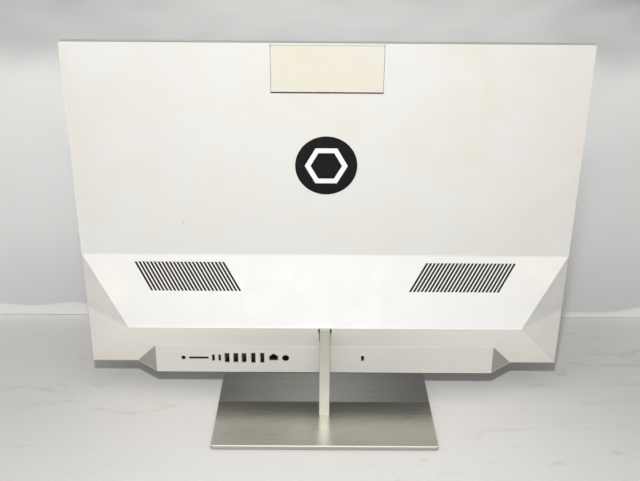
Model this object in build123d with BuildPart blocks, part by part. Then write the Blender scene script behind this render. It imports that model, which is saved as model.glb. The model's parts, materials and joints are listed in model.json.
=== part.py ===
from build123d import *
import os
from math import atan2, cos, hypot, radians, sin

# An all-in-one desktop computer on a slim bar stand. Millimetres. +Z is up, the screen faces -Y and the
# origin is on the ground under the middle of the base plate. Pieces of the display are drawn in the
# display's own frame: X across, Y out through its back, Z up along the screen, with the origin at the
# middle of the bottom edge of the flat back. "in_display" then leans them back to where they stand.

os.makedirs("parts", exist_ok=True)

# ---- driving dimensions: stand ----
base_width = 276.7
base_depth = 184.0
base_corner = 4.0
plate_thick = 4.8
pad_thick = 1.2
plate_bevel = 0.9
plate_top = plate_thick + pad_thick
neck_width = 13.2
head_radius = 9.0
shaft_radius = 4.0
shaft_length = 88.0

# ---- driving dimensions: display ----
rest_lean = 5.5             # the screen leans back by this much when it is set down
edge_lift = 45.0            # bottom edge of the flat back above the ground
edge_back = -52.4           # the same edge, front to back
panel_width = 614.0
panel_height = 428.8
panel_corner = 3.0
panel_depth = 10.4          # the thin part, glass included
cover_wall = 2.2
crease_height = 159.3       # where the bulge starts
ridge_height = 83.1         # its highest line
ridge_depth = 53.3
ridge_half = 244.5
foot_half = 247.6
chin_depth = 25.7
chin_half = 217.9
chin_wall = 2.0
chin_height = chin_depth * ridge_height / ridge_depth
half_width = panel_width / 2
hinge_y = 38.0
hinge_z = 80.0

# ---- driving dimensions: layers of the thin part, by their distance from the flat back ----
glass_back = -9.2
lcd_back = -7.9
guide_back = -5.8
chassis_back = -4.9
gap = 0.1                   # air between two layers that are not glued
grille_height = 58.0

# ---- driving dimensions: webcam ----
camera_half = 65.4
camera_bottom = 371.3
camera_plate_top = 425.6
camera_front = -4.7

in_display = Plane(
    origin=(0, edge_back, edge_lift),
    x_dir=(1, 0, 0),
    z_dir=(0, sin(radians(rest_lean)), cos(radians(rest_lean))),
).location


def write_piece(builder, name, place=Location()):
    """Move a finished piece to where it stands, label it and write it."""
    piece = builder.part.moved(place)
    piece.label = name
    export_step(piece, f"parts/{name}.step")


def block(x, y, z, mode=Mode.ADD):
    """A box given by its three pairs of limits."""
    middle = (sum(x) / 2, sum(y) / 2, sum(z) / 2)
    with Locations(middle):
        Box(x[1] - x[0], y[1] - y[0], z[1] - z[0], mode=mode)


def across(middle, radius, length, mode=Mode.ADD):
    """A round bar along X."""
    with Locations(Location(middle, (0, 90, 0))):
        Cylinder(radius, length, mode=mode)


def through(middle, radius, length, mode=Mode.ADD):
    """A round bar along Y, square to the screen."""
    with Locations(Location(middle, (90, 0, 0))):
        Cylinder(radius, length, mode=mode)


def upright(middle, radius, length, mode=Mode.ADD):
    """A round bar along Z."""
    with Locations(middle):
        Cylinder(radius, length, mode=mode)


def side_profile(points, x, width, mode=Mode.ADD):
    """A flat shape drawn from the side as (Y, Z) points, given a width about x."""
    with BuildSketch(Plane.YZ.offset(x)) as profile:
        with BuildLine():
            Polyline(*points, close=True)
        make_face()
    extrude(profile.sketch, amount=width / 2, both=True, mode=mode)


# ======================================================================================= stand

with BuildPart() as base_plate:
    with BuildSketch(Plane.XY.offset(pad_thick)):
        RectangleRounded(base_width, base_depth, base_corner)
    extrude(amount=plate_thick)
    chamfer(base_plate.faces().sort_by(Axis.Z)[-1].edges(), plate_bevel)

# The neck is one flat bar. Its rear face is what is seen from behind, and its head goes up through a slot
# in the cover to the hinge.
lean = radians(rest_lean)
head = (
    edge_back + hinge_z * sin(lean) + hinge_y * cos(lean),
    edge_lift + hinge_z * cos(lean) - hinge_y * sin(lean),
)
neck_rear = edge_back + 70.3
neck_front = neck_rear - 12.0
shoulder = (edge_back + 58.5, 118.8)
waist = (neck_front - 9.0, 92.0)


def tangent_point(point, side):
    """Where a line from a point touches the round head, on the side given by +1 or -1."""
    away = (point[0] - head[0], point[1] - head[1])
    distance = hypot(*away)
    turn = atan2(away[1], away[0]) + side * atan2((distance**2 - head_radius**2) ** 0.5, head_radius)
    return (head[0] + head_radius * cos(turn), head[1] + head_radius * sin(turn))


with BuildPart() as neck:
    side_profile(
        [
            (neck_rear, plate_top),
            shoulder,
            tangent_point(shoulder, 1),
            tangent_point(waist, -1),
            waist,
            (neck_front, plate_top),
        ],
        0,
        neck_width,
    )
    across((0, *head), head_radius, neck_width)
    across((0, *head), shaft_radius, neck_width, Mode.SUBTRACT)
    chamfer(neck.edges().filter_by(Axis.X, reverse=True).group_by(Axis.Y)[-1], 0.6)

foot_middle = (neck_rear + neck_front) / 2
screw_spread = 3.1
screw_head_top = pad_thick + 3.0
with BuildPart() as base_screws:
    for side in (-1, 1):
        spot = foot_middle + side * screw_spread
        upright((0, spot, plate_top + 5.0), 1.5, 14.0)
        upright((0, spot, screw_head_top - 1.2), 2.8, 2.4)
for holed in (base_plate, neck):
    with holed:
        add(base_screws.part, mode=Mode.SUBTRACT)
with base_plate:
    for side in (-1, 1):
        upright((0, foot_middle + side * screw_spread, pad_thick), 2.8, 2.0, Mode.SUBTRACT)

with BuildPart() as base_pad:
    with BuildSketch(Plane.XY):
        RectangleRounded(base_width - 3, base_depth - 3, base_corner - 1.5)
    extrude(amount=pad_thick)

nut_width = 4.0
with BuildPart() as hinge_shaft:
    across((0, hinge_y, hinge_z), shaft_radius, shaft_length)
with BuildPart() as shaft_nuts:
    for side in (-1, 1):
        with BuildSketch(Plane.YZ.offset(side * (shaft_length / 2 - 1 - nut_width / 2))):
            with Locations((hinge_y, hinge_z)):
                RegularPolygon(7.0, 6)
                Circle(shaft_radius, mode=Mode.SUBTRACT)
        extrude(amount=nut_width / 2, both=True)

write_piece(base_plate, "base_plate")
write_piece(base_pad, "base_pad")
write_piece(neck, "neck")
write_piece(base_screws, "base_screws")
write_piece(hinge_shaft, "hinge_shaft", in_display)
write_piece(shaft_nuts, "shaft_nuts", in_display)


# ============================================================================ rear cover and chin

slope = hypot(ridge_depth, crease_height - ridge_height)
undercut = hypot(ridge_depth, ridge_height)
on_bright_face = Plane(
    origin=(0, 0, crease_height),
    x_dir=(1, 0, 0),
    z_dir=(0, (crease_height - ridge_height) / slope, ridge_depth / slope),
)
on_lower_face = Plane(
    origin=(0, ridge_depth, ridge_height),
    x_dir=(-1, 0, 0),
    z_dir=(0, ridge_height / undercut, -ridge_depth / undercut),
)


def bulge(forward=0.0, narrower=0.0):
    """The faceted block behind the screen. Moved forward and made narrower it is its own hollow."""
    half = half_width - narrower
    ridge = ridge_half - narrower
    with BuildPart() as shape:
        side_profile(
            [(-forward, 0), (ridge_depth - forward, ridge_height), (-forward, crease_height)],
            0,
            2 * half,
        )
        for side in (-1, 1):
            corner = Vector(side * half, -forward, crease_height)
            end = Vector(side * ridge, ridge_depth - forward, ridge_height)
            low = Vector(side * half, -forward, 0)
            outward = (end - corner).cross(low - corner) * side
            if outward.X * side < 0:
                outward = outward * -1
            split(bisect_by=Plane(origin=corner, z_dir=outward), keep=Keep.BOTTOM)
    return shape.part


def window_frame(outer, inner, y):
    """A flat ring between two upright rectangles, each given as (half width, bottom, top)."""
    block((-outer[0], outer[0]), y, (outer[1], outer[2]))
    block((-inner[0], inner[0]), y, (inner[1], inner[2]), Mode.SUBTRACT)


hollow_forward = 2.7        # together these leave a wall of 2.2 all round the bulge
hollow_narrower = 1.0
vent_count = 24
vent_pitch = 4.78
vent_width = 2.9            # measured along X
vent_inner = 128.8           # middle of the innermost slot at its upper end
vent_shift = 22.5            # how far each slot runs towards the middle on its way down
vent_top = 9.9               # measured down the bright face from the crease
vent_bottom = 46.7
badge_height = 279.2
badge_radius = 37.45
camera_gap = 0.45
camera_under_gap = 2.0
slot_half = 8.4
slot_low_half = 7.3
slot_wide_run = 18.0
slot_run = 42.0
slot_cut = 6.0
chin_lip = 4.0
chin_step = 0.8             # its top edge stands this much clear of the lower face

with BuildPart() as rear_cover:
    with BuildSketch(Plane.XZ.offset(cover_wall)):
        with Locations((0, panel_height / 2)):
            RectangleRounded(panel_width, panel_height, panel_corner)
    extrude(amount=-cover_wall)
    add(bulge())
    add(bulge(hollow_forward, hollow_narrower), mode=Mode.SUBTRACT)
    # the chin's electronics look out through this hole in the lower face
    block(
        (chin_lip - chin_half, chin_half - chin_lip),
        (-cover_wall - 1, ridge_depth),
        (3.0, chin_height - chin_lip),
        Mode.SUBTRACT,
    )
    # cooling slots, a mirrored pair of slanted groups
    with BuildSketch(on_bright_face):
        for side in (-1, 1):
            for count in range(vent_count):
                start = vent_inner + count * vent_pitch
                end = start - vent_shift
                with BuildLine():
                    Polyline(
                        (side * (start - vent_width / 2), vent_top),
                        (side * (start + vent_width / 2), vent_top),
                        (side * (end + vent_width / 2), vent_bottom),
                        (side * (end - vent_width / 2), vent_bottom),
                        close=True,
                    )
                make_face()
    extrude(amount=-4, mode=Mode.SUBTRACT)
    # slot for the neck, wide by the ridge and close to the neck further down
    with BuildSketch(on_lower_face):
        with Locations((0, -slot_wide_run / 2 - 0.3)):
            Rectangle(2 * slot_half, slot_wide_run)
        with Locations((0, -slot_run / 2 - 0.3)):
            Rectangle(2 * slot_low_half, slot_run)
    extrude(amount=-slot_cut, mode=Mode.SUBTRACT)
    # seat for the badge, bay for the webcam
    through((0, 0, badge_height), badge_radius + 0.15, 1.6, Mode.SUBTRACT)
    block(
        (-camera_half - camera_gap, camera_half + camera_gap),
        (-cover_wall - 1, 1),
        (camera_bottom - camera_under_gap, panel_height + 1),
        Mode.SUBTRACT,
    )

with BuildPart() as badge:
    through((0, -0.25, badge_height), badge_radius, 1.1)
    chamfer(badge.edges().sort_by(Axis.Y)[-1], 0.25)

# Each socket is (kind, x), and its opening in the chin is (kind): width, height.
socket_height = 21.3
openings = {
    "card": (25.6, 3.2),
    "usb_c": (3.7, 9.7),
    "usb_a": (6.9, 14.5),
    "hdmi": (6.5, 15.8),
    "lan": (12.4, 8.2),
}
sockets = [
    ("card", 162.9),
    ("usb_c", 144.0),
    ("usb_c", 135.9),
    ("usb_a", 126.3),
    ("usb_a", 115.0),
    ("usb_a", 104.3),
    ("hdmi", 92.3),
    ("hdmi", 80.7),
    ("lan", 65.9),
]
audio_x = 182.8
power_x = 50.3
lock_x = -49.5
audio_hole = 2.9
power_hole = 4.7
lan_notch = (6.4, 2.2)
indicator_drop = 6.6

with BuildPart() as io_cover:
    with BuildSketch(Plane.XY):
        with BuildLine():
            Polyline(
                (-foot_half, 0),
                (foot_half, 0),
                (chin_half, chin_depth),
                (-chin_half, chin_depth),
                close=True,
            )
        make_face()
    extrude(amount=chin_height + chin_step)
    with BuildSketch(Plane.XY.offset(chin_wall)):
        with BuildLine():
            Polyline(
                (-foot_half + 4, -chin_wall),
                (foot_half - 4, -chin_wall),
                (chin_half - 2.5, chin_depth - chin_wall),
                (-chin_half + 2.5, chin_depth - chin_wall),
                close=True,
            )
        make_face()
    extrude(amount=chin_height - chin_wall - chin_lip, mode=Mode.SUBTRACT)
    add(bulge(), mode=Mode.SUBTRACT)
    with BuildSketch(Plane.XZ.offset(-chin_depth)):
        for kind, x in sockets:
            with Locations((x, socket_height)):
                Rectangle(*openings[kind])
                if kind == "lan":
                    with Locations((0, openings[kind][1] / 2 + lan_notch[1] / 2)):
                        Rectangle(*lan_notch)
        with Locations((audio_x, socket_height)):
            Circle(audio_hole)
        with Locations((power_x, socket_height)):
            Circle(power_hole)
        with Locations((power_x, socket_height + indicator_drop)):
            Circle(0.6)
        with Locations((lock_x, socket_height)):
            Rectangle(3.8, 7.8)
    extrude(amount=chin_wall + 1, mode=Mode.SUBTRACT)

write_piece(rear_cover, "rear_cover", in_display)
write_piece(badge, "badge", in_display)

# ========================================================================= sockets behind the chin

board_face = 4.2            # component side of the main board
board_back = 2.6
mouth = chin_depth - 0.7    # sockets stop just inside the chin's face


def socket(kind, x, wall, depth):
    """A metal shell standing on the main board with its mouth in the chin."""
    wide, high = openings[kind]
    clear = 0.25
    left, right = x - wide / 2 + clear, x + wide / 2 - clear
    low, top = socket_height - high / 2 + clear, socket_height + high / 2 - clear
    block((left, right), (board_face, mouth), (low, top))
    block(
        (left + wall, right - wall),
        (mouth - depth, mouth),
        (low + wall, top - wall),
        Mode.SUBTRACT,
    )


def tongue(x, thick, high, depth, reach):
    """The contact tongue that stands in the middle of a socket."""
    block(
        (x - thick / 2, x + thick / 2),
        (mouth - depth, mouth - depth + reach),
        (socket_height - high / 2, socket_height + high / 2),
    )


with BuildPart() as usb_c_ports:
    for kind, x in sockets:
        if kind == "usb_c":
            socket(kind, x, 0.3, 8.0)
            tongue(x, 0.7, 6.7, 8.0, 6.5)

with BuildPart() as usb_a_ports:
    for kind, x in sockets:
        if kind == "usb_a":
            socket(kind, x, 0.5, 13.0)
            tongue(x + 1.4, 1.8, 11.0, 13.0, 11.5)

with BuildPart() as hdmi_ports:
    for kind, x in sockets:
        if kind == "hdmi":
            socket(kind, x, 0.5, 10.0)
            tongue(x, 1.2, 11.5, 10.0, 8.5)

lan_x = sockets[-1][1]
with BuildPart() as lan_port:
    socket("lan", lan_x, 0.5, 13.0)
    notch_low = socket_height + openings["lan"][1] / 2 - 0.25
    block((lan_x - 2.9, lan_x + 2.9), (board_face, mouth), (notch_low, notch_low + 2.0))
    block((lan_x - 2.5, lan_x + 2.5), (mouth - 13, mouth), (notch_low - 1, notch_low + 1.6), Mode.SUBTRACT)

card_x = sockets[0][1]
with BuildPart() as card_reader:
    socket("card", card_x, 0.4, 17.0)

jack_radius = 1.8
jack_depth = 14.0
with BuildPart() as audio_jack:
    block(
        (audio_x - 4.5, audio_x + 4.5),
        (board_face, mouth - 3.2),
        (socket_height - 4.5, socket_height + 4.5),
    )
    through((audio_x, mouth - 1.8, socket_height), audio_hole - 0.2, 3.6)
    through((audio_x, mouth - jack_depth / 2, socket_height), jack_radius, jack_depth, Mode.SUBTRACT)

inlet_radius = 3.75
inlet_depth = 11.0
inlet_pin = 0.5
with BuildPart() as dc_inlet:
    block(
        (power_x - 5.6, power_x + 5.6),
        (board_face, mouth - 3.2),
        (socket_height - 5.6, socket_height + 5.6),
    )
    through((power_x, mouth - 1.8, socket_height), power_hole - 0.2, 3.6)
    through((power_x, mouth - inlet_depth / 2, socket_height), inlet_radius, inlet_depth, Mode.SUBTRACT)
    through((power_x, mouth - inlet_depth / 2 - 1, socket_height), inlet_pin, inlet_depth - 1)

with BuildPart() as indicator:
    through((power_x, chin_depth - 2.0, socket_height + indicator_drop), 0.5, 3.6)

lock_slot = (3.0, 7.0)
lock_plate_half = (9.0, 9.0)
lock_front = chin_depth - chin_wall - 1.6
with BuildPart() as lock_plate:
    block(
        (lock_x - lock_plate_half[0], lock_x + lock_plate_half[0]),
        (lock_front, chin_depth - chin_wall),
        (socket_height - lock_plate_half[1], socket_height + lock_plate_half[1]),
    )
    block(
        (lock_x - lock_slot[0] / 2, lock_x + lock_slot[0] / 2),
        (lock_front - 1, chin_depth),
        (socket_height - lock_slot[1] / 2, socket_height + lock_slot[1] / 2),
        Mode.SUBTRACT,
    )

# ------------------------------------------------------------- buttons in the underside of the chin
buttons_x = -115.9
bezel_half = 9.0
bezel_y = (14.6, 23.6)
bezel_proud = 1.4
button_proud = 0.7
button_travel = 0.8
button_spread = 4.2
button_half = (3.4, 3.1)
button_clear = 0.15
button_y = (bezel_y[0] + bezel_y[1]) / 2

with BuildPart() as button_bezel:
    block(
        (buttons_x - bezel_half, buttons_x + bezel_half), bezel_y, (-bezel_proud, chin_wall + 1.0)
    )
    for side in (-1, 1):
        middle = buttons_x + side * button_spread
        block(
            (middle - button_half[0] - button_clear, middle + button_half[0] + button_clear),
            (button_y - button_half[1] - button_clear, button_y + button_half[1] + button_clear),
            (-bezel_proud - 1, chin_wall + 2),
            Mode.SUBTRACT,
        )
with io_cover:
    block(
        (buttons_x - bezel_half, buttons_x + bezel_half), bezel_y, (-1, chin_wall + 1), Mode.SUBTRACT
    )


def push_button(name, side):
    """One key of the pair, with a stem that reaches its switch."""
    middle = buttons_x + side * button_spread
    with BuildPart() as key:
        block(
            (middle - button_half[0], middle + button_half[0]),
            (button_y - button_half[1], button_y + button_half[1]),
            (-bezel_proud - button_proud, chin_wall + 1.6),
        )
        fillet(key.faces().sort_by(Axis.Z)[0].edges(), 0.4)
        upright((middle, button_y, chin_wall + 2.6), 1.2, 2.4)
    write_piece(key, name, in_display)


push_button("power_button", 1)
push_button("input_button", -1)

with BuildPart() as button_board:
    board_low = chin_wall + 3.8 + button_travel + 0.4
    block((buttons_x - 14, buttons_x + 14), (10.0, 23.2), (board_low + 2.4, board_low + 3.6))
    for side in (-1, 1):
        middle = buttons_x + side * button_spread
        block((middle - 2.2, middle + 2.2), (button_y - 2.2, button_y + 2.2), (board_low, board_low + 2.4))

for piece, name in (
    (io_cover, "io_cover"),
    (usb_c_ports, "usb_c_ports"),
    (usb_a_ports, "usb_a_ports"),
    (hdmi_ports, "hdmi_ports"),
    (lan_port, "lan_port"),
    (card_reader, "card_reader"),
    (audio_jack, "audio_jack"),
    (dc_inlet, "dc_inlet"),
    (indicator, "indicator"),
    (lock_plate, "lock_plate"),
    (button_bezel, "button_bezel"),
    (button_board, "button_board"),
):
    write_piece(piece, name, in_display)

# =============================================================================== screen and frame

frame_rim = 4.0
screen_half = 301.5
screen_low = 74.0
screen_top = 419.6
grille_gap = 0.6

with BuildPart() as middle_frame:
    with BuildSketch(Plane.XZ.offset(panel_depth)):
        with Locations((0, panel_height / 2)):
            RectangleRounded(panel_width, panel_height, panel_corner)
            Rectangle(panel_width - 2 * frame_rim, panel_height - 2 * frame_rim, mode=Mode.SUBTRACT)
    extrude(amount=-(panel_depth - cover_wall))
    block(
        (-half_width + 1, half_width - 1),
        (-panel_depth - 1, glass_back),
        (1, panel_height - 1),
        Mode.SUBTRACT,
    )
    block(
        (-camera_half - camera_gap, camera_half + camera_gap),
        (chassis_back, 0),
        (camera_bottom, panel_height + 1),
        Mode.SUBTRACT,
    )

with BuildPart() as display_glass:
    block(
        (-half_width + 1.15, half_width - 1.15),
        (-panel_depth, glass_back),
        (grille_height + grille_gap, panel_height - 1.15),
    )

with BuildPart() as speaker_grille:
    block((-half_width + 1.15, half_width - 1.15), (-panel_depth + 0.1, glass_back), (1.15, grille_height))
    fillet(speaker_grille.faces().sort_by(Axis.Y)[0].edges(), 0.6)

with BuildPart() as lcd_panel:
    block((-screen_half, screen_half), (glass_back + gap, lcd_back), (screen_low, screen_top))

with BuildPart() as light_guide:
    block((-screen_half, screen_half), (lcd_back + gap, guide_back), (screen_low + 4, screen_top))

with BuildPart() as led_bar:
    block((-screen_half, screen_half), (lcd_back + gap, guide_back), (screen_low, screen_low + 3.8))

speaker_x = (198.0, 243.0)
speaker_z = (9.0, 56.0)
with BuildPart() as chassis_plate:
    block(
        (frame_rim + 0.2 - half_width, half_width - frame_rim - 0.2),
        (guide_back + gap, chassis_back),
        (frame_rim + 0.2, panel_height - frame_rim - 0.2),
    )
    for side in (-1, 1):
        spot = sorted((side * speaker_x[0], side * speaker_x[1]))
        block(
            (spot[0] + 4, spot[1] - 4), (-panel_depth, 0), (speaker_z[0] + 4, speaker_z[1] - 4), Mode.SUBTRACT
        )

# Each speaker is a sealed box with a wedge shape that follows the cover, and a cone facing forward.
cone_radius = 15.0


def speaker(name, side):
    middle = side * (speaker_x[0] + speaker_x[1]) / 2
    with BuildPart() as box:
        side_profile(
            [
                (chassis_back + gap, speaker_z[0]),
                (1.5, speaker_z[0]),
                (22.0, speaker_z[1] - 8),
                (22.0, speaker_z[1]),
                (chassis_back + gap, speaker_z[1]),
            ],
            middle,
            speaker_x[1] - speaker_x[0],
        )
        cone_middle = (speaker_z[0] + speaker_z[1]) / 2
        through((middle, chassis_back - 0.2, cone_middle), cone_radius, 1.4)
        through((middle, chassis_back - 0.8, cone_middle), cone_radius - 3, 1.2, Mode.SUBTRACT)
        with Locations((middle, chassis_back, cone_middle)):
            Sphere(3.4)
    write_piece(box, name, in_display)


speaker("speaker_left", -1)
speaker("speaker_right", 1)

for piece, name in (
    (middle_frame, "middle_frame"),
    (display_glass, "display_glass"),
    (speaker_grille, "speaker_grille"),
    (lcd_panel, "lcd_panel"),
    (light_guide, "light_guide"),
    (led_bar, "led_bar"),
    (chassis_plate, "chassis_plate"),
):
    write_piece(piece, name, in_display)

# ==================================================================================== electronics

board_x = (44.0, 196.0)
board_z = (6.0, 136.0)
power_board_x = (-106.0, -54.0)
power_board_z = (44.0, 110.0)
post_radius = 2.6
board_posts = [(52, 12), (186, 38), (50, 124), (188, 128), (101, 50)]
power_posts = [(-102, 48), (-58, 48), (-102, 106), (-58, 106)]
screw_hole = 1.5

with BuildPart() as mainboard:
    block(board_x, (board_back, board_face), board_z)
    for x, z in board_posts:
        through((x, board_face, z), screw_hole, 6, Mode.SUBTRACT)

with BuildPart() as power_board:
    block(power_board_x, (board_back, board_face), power_board_z)
    block((-100, -82), (board_face, board_face + 9), (56, 74))
    block((-76, -62), (board_face, board_face + 7), (56, 68))
    for spot in range(4):
        through((-98 + 11 * spot, board_face + 4, 90), 4.0, 8)
    for x, z in power_posts:
        through((x, board_face, z), screw_hole, 6, Mode.SUBTRACT)

with BuildPart() as board_posts_set:
    for x, z in board_posts + power_posts:
        middle = (board_back + chassis_back) / 2
        through((x, middle, z), post_radius, board_back - chassis_back)
        through((x, middle, z), screw_hole, board_back - chassis_back + 2, Mode.SUBTRACT)

with BuildPart() as board_screws:
    for x, z in board_posts + power_posts:
        through((x, (board_face + chassis_back + 1) / 2, z), screw_hole - 0.05, board_face - chassis_back - 1)
        through((x, board_face + 0.8, z), 2.6, 1.6)
        through((x, board_face + 1.6, z), 0.9, 1.0, Mode.SUBTRACT)

processor = (92.0, 100.0)
with BuildPart() as board_chips:
    with Locations((processor[0], board_face + 1.0, processor[1])):
        Box(38, 2, 38)
    with Locations((150, board_face + 0.9, 52)):
        Box(20, 1.8, 20)
    for spot in range(6):
        with Locations((64 + 11 * spot, board_face + 2.0, 70)):
            Box(7, 4, 7)
    for spot in range(5):
        through((62, board_face + 2.5, 84 + 8 * spot), 3.0, 5)
    for spot in range(3):
        with Locations((165 + 9 * spot, board_face + 0.6, 120)):
            Box(5, 1.2, 7)

with BuildPart() as memory_modules:
    for layer in range(2):
        low = board_face + 2.2 + 3.6 * layer
        block((120, 188), (low, low + 1.2), (74 - 3 * layer, 104 - 3 * layer))
        for spot in range(4):
            left = 124 + 16 * spot
            block((left, left + 12), (low + 1.2, low + 2.2), (80 - 3 * layer, 94 - 3 * layer))
    block((118, 190), (board_face, board_face + 8), (104.2, 109.0))

with BuildPart() as solid_state_drive:
    block((112, 192), (board_face + 2.0, board_face + 2.8), (40, 62))
    for spot in range(3):
        block((120 + 20 * spot, 134 + 20 * spot), (board_face + 2.8, board_face + 4.0), (44, 58))
    block((107, 112), (board_face, board_face + 3.6), (39, 63))

with BuildPart() as wireless_card:
    block((64, 94), (board_face + 2.0, board_face + 2.8), (40, 62))
    block((68, 84), (board_face + 2.8, board_face + 4.2), (44, 58))
    block((59.5, 64), (board_face, board_face + 3.6), (39, 63))

with BuildPart() as antennas:
    for side in (-1, 1):
        block((side * 230 - 22, side * 230 + 22), (chassis_back, chassis_back + 0.5), (404, 413))

with BuildPart() as coin_cell:
    through((130, board_face + 1.8, 122), 10.0, 3.2)

# Cooling: a copper pipe carries the processor's heat across to a stack of fins above a blower.
plate_y = (board_face + 2.0, board_face + 3.6)
pipe_radius = 3.0
pipe_y = plate_y[1] + pipe_radius + 0.02
pipe_z = 126.0
fins_x = (-190.0, -114.0)
fin_z = (119.0, 133.0)
fin_y = (4.4, 14.6)
fin_pitch = 2.4
fin_thick = 0.4
fin_count = int((fins_x[1] - fins_x[0]) / fin_pitch)

with BuildPart() as processor_plate:
    block((processor[0] - 24, processor[0] + 24), plate_y, (processor[1] - 22, processor[1] + 22))
    for side in (-1, 1):
        through((processor[0] + side * 21, plate_y[1] + 1, processor[1] - 19), 2.2, 2)

with BuildPart() as heat_pipe:
    with BuildLine() as route:
        FilletPolyline(
            (fins_x[0] + 1, pipe_y, pipe_z),
            (processor[0] - 34, pipe_y, pipe_z),
            (processor[0] + 4, pipe_y, processor[1] + 4),
            (processor[0] + 20, pipe_y, processor[1] + 2),
            radius=14,
        )
    with BuildSketch(Plane(route.line @ 0, z_dir=route.line % 0)):
        Circle(pipe_radius)
    sweep(path=route.line)

with BuildPart() as cooling_fins:
    for count in range(fin_count):
        left = fins_x[0] + 1.5 + count * fin_pitch
        block((left, left + fin_thick), fin_y, fin_z)
    across(((fins_x[0] + fins_x[1]) / 2, pipe_y, pipe_z), pipe_radius + 0.02, 90, Mode.SUBTRACT)

fan_x = -152.0
fan_z = 79.0
fan_half = 38.0
fan_y = (3.0, 15.0)
fan_wall = 1.0
fan_mouth = 21.0
with BuildPart() as fan_housing:
    block((fan_x - fan_half, fan_x + fan_half), fan_y, (fan_z - fan_half, fan_z + fan_half))
    fillet(fan_housing.edges().filter_by(Axis.Y).sort_by(Axis.Z)[:2], 30)
    with BuildSketch(Plane.XZ.offset(-fan_y[0] - fan_wall)):
        with Locations((fan_x, fan_z)):
            Circle(fan_half - 2.5)
        with Locations((fan_x, fan_z + fan_half / 2)):
            Rectangle(2 * fan_half - 5, fan_half + 1)
    extrude(amount=-(fan_y[1] - fan_y[0] - 2 * fan_wall), mode=Mode.SUBTRACT)
    through((fan_x, fan_y[1], fan_z), fan_mouth, 4, Mode.SUBTRACT)
    through((fan_x, fan_y[0] + 2.4, fan_z), 2.0, 2.8)

blade_count = 31
hub_radius = 13.0
blade_radius = 32.0
with BuildPart() as fan_rotor:
    low = fan_y[0] + fan_wall + 0.5
    top = fan_y[1] - fan_wall - 0.5
    through((fan_x, (low + top) / 2, fan_z), hub_radius, top - low)
    through((fan_x, low, fan_z), 2.06, 6.4, Mode.SUBTRACT)
    with BuildSketch(Plane.XZ.offset(-low)):
        with Locations((fan_x, fan_z)):
            with PolarLocations((hub_radius + blade_radius) / 2, blade_count):
                Rectangle(blade_radius - hub_radius + 4, 0.9, rotation=24)
            Circle(blade_radius - 1)
            Circle(blade_radius - 2.2, mode=Mode.SUBTRACT)
            with PolarLocations((hub_radius + blade_radius) / 2, blade_count):
                Rectangle(blade_radius - hub_radius + 4, 0.9, rotation=24)
            Circle(hub_radius)
            Circle(3, mode=Mode.SUBTRACT)
    extrude(amount=-(top - low - 1.2))

# Friction hinge: two barrels grip the shaft, and a bracket ties them to the chassis.
barrel_radius = 8.0
barrel_x = (11.0, 36.0)
bracket_plate = (chassis_back, chassis_back + 2.0)
with BuildPart() as friction_barrels:
    for side in (-1, 1):
        middle = side * sum(barrel_x) / 2
        across((middle, hinge_y, hinge_z), barrel_radius, barrel_x[1] - barrel_x[0])
    across((0, hinge_y, hinge_z), shaft_radius + 0.05, 100, Mode.SUBTRACT)

with BuildPart() as hinge_bracket:
    block((-44, 44), bracket_plate, (44, 122))
    for side in (-1, 1):
        side_profile(
            [(bracket_plate[1], 50), (bracket_plate[1], 114), (34, 92), (34, 68.5)],
            side * sum(barrel_x) / 2,
            16,
        )
    across((0, hinge_y, hinge_z), barrel_radius, 100, Mode.SUBTRACT)
    for x in (-38, 38):
        for z in (52, 114):
            through((x, chassis_back, z), 1.6, 9, Mode.SUBTRACT)

with BuildPart() as bracket_screws:
    for x in (-38, 38):
        for z in (52, 114):
            through((x, bracket_plate[1] + 0.8, z), 2.8, 1.6)
            through((x, (sum(bracket_plate)) / 2, z), 1.55, bracket_plate[1] - bracket_plate[0])

cable_x = (48.0, 66.0)
with BuildPart() as display_cable:
    block(cable_x, (chassis_back, chassis_back + 0.4), (136.8, 300))
    block(cable_x, (chassis_back, board_face + 1.6), (136.4, 136.8))
    block(cable_x, (board_face, board_face + 1.6), (130.5, 136.4))

for piece, name in (
    (mainboard, "mainboard"),
    (power_board, "power_board"),
    (board_posts_set, "board_posts"),
    (board_screws, "board_screws"),
    (board_chips, "board_chips"),
    (memory_modules, "memory_modules"),
    (solid_state_drive, "solid_state_drive"),
    (wireless_card, "wireless_card"),
    (antennas, "antennas"),
    (coin_cell, "coin_cell"),
    (processor_plate, "processor_plate"),
    (heat_pipe, "heat_pipe"),
    (cooling_fins, "cooling_fins"),
    (fan_housing, "fan_housing"),
    (fan_rotor, "fan_rotor"),
    (friction_barrels, "friction_barrels"),
    (hinge_bracket, "hinge_bracket"),
    (bracket_screws, "bracket_screws"),
    (display_cable, "display_cable"),
):
    write_piece(piece, name, in_display)

# ========================================================================================== webcam

housing_half = camera_half - 0.6
lens_height = 413.6
camera_y = (camera_front, -1.3)
groove = 1.2                # shadow line between the back plate and the cap
with BuildPart() as camera_housing:
    block((-housing_half, housing_half), camera_y, (camera_bottom + 0.6, camera_plate_top))
    block(
        (-housing_half + 1.2, housing_half - 1.2),
        (camera_front + 0.8, 0),
        (camera_bottom + 1.8, camera_plate_top - 1),
        Mode.SUBTRACT,
    )
    block((-50, 50), (camera_front - 1, camera_front + 0.5), (lens_height - 8, lens_height + 8), Mode.SUBTRACT)
    for x, radius in ((-20, 2.2), (0, 3.0), (20, 2.2)):
        through((x, camera_front, lens_height), radius, 4, Mode.SUBTRACT)

with BuildPart() as camera_window:
    block((-49.8, 49.8), (camera_front, camera_front + 0.5), (lens_height - 7.8, lens_height + 7.8))
    for x in (-34, 34):
        through((x, camera_front, lens_height + 4), 0.6, 2, Mode.SUBTRACT)

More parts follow.
